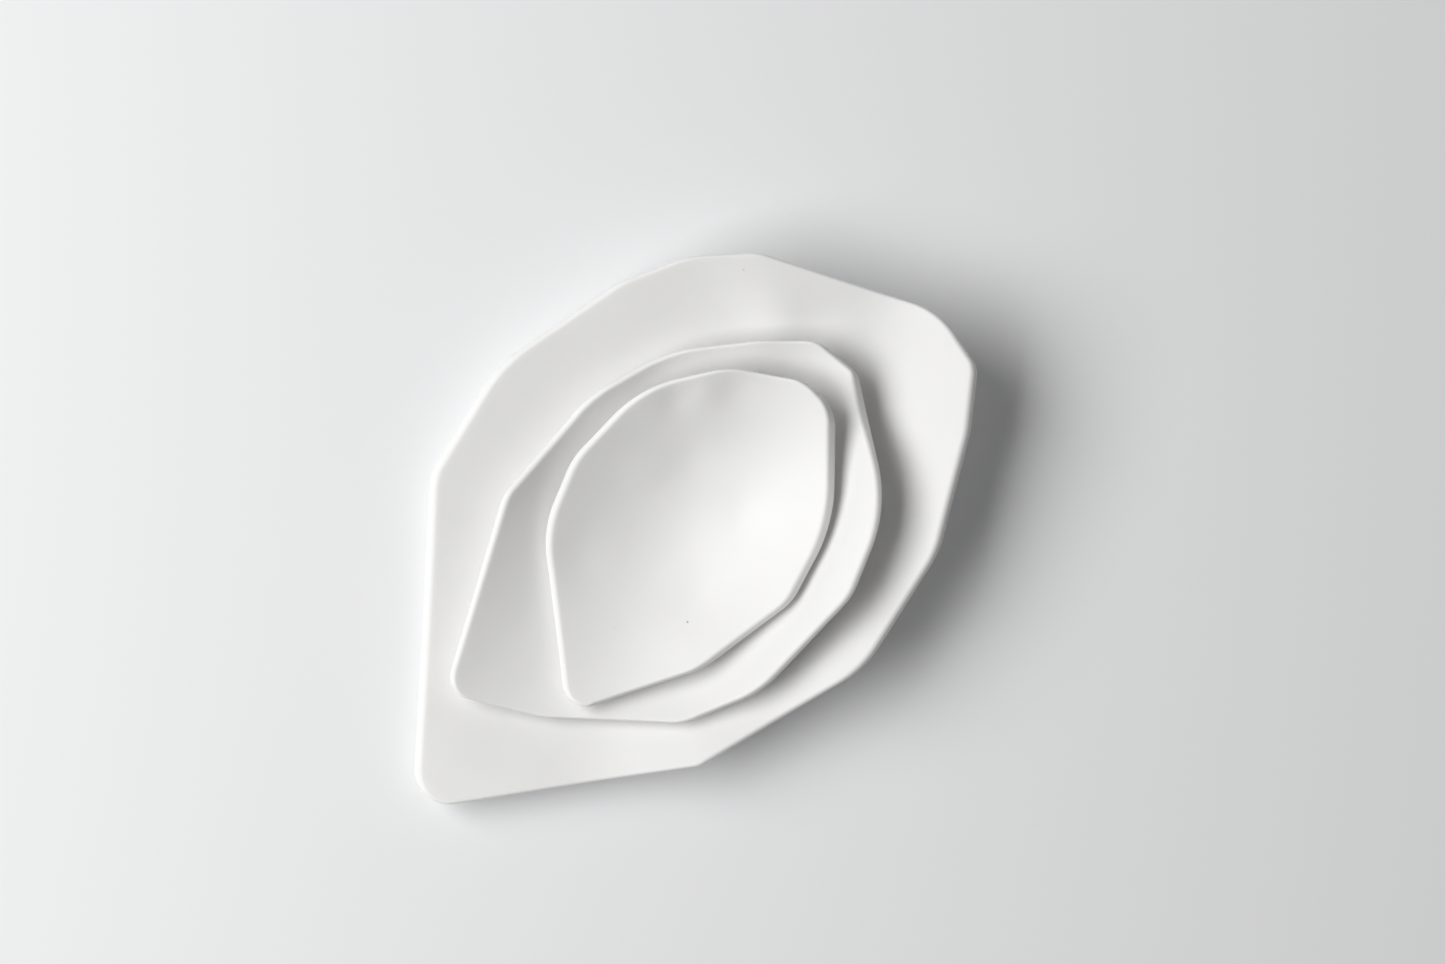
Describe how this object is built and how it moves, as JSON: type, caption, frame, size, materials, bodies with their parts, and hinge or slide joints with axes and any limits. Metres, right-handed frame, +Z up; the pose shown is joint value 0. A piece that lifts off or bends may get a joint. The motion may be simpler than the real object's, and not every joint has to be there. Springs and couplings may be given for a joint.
{
  "type": "nest of porcelain dishes",
  "caption": "Nest of shallow white porcelain dishes with irregular straight-sided outlines and soft corners, each standing on the flat floor of the larger one below.",
  "frame": {"origin": "table height, below the middle of the large dish's outline", "axes": "+Z up from the table, +X along the large dish from its low pointed end to its high end, +Y to the left when looking along +X"},
  "size_m": [0.2354, 0.1546, 0.0422],
  "materials": {
    "porcelain": "matte"
  },
  "bodies": {
    "large_dish": {"large_dish": "porcelain"},
    "medium_dish": {"medium_dish": "porcelain"},
    "small_dish": {"small_dish": "porcelain"}
  },
  "joints": [
    {"name": "medium_lift", "type": "slide", "parent": "large_dish", "child": "medium_dish", "axis": [0, 0, 1], "range_m": [0, 0.08]},
    {"name": "small_lift", "type": "slide", "parent": "medium_dish", "child": "small_dish", "axis": [0, 0, 1], "range_m": [0, 0.08]}
  ]
}
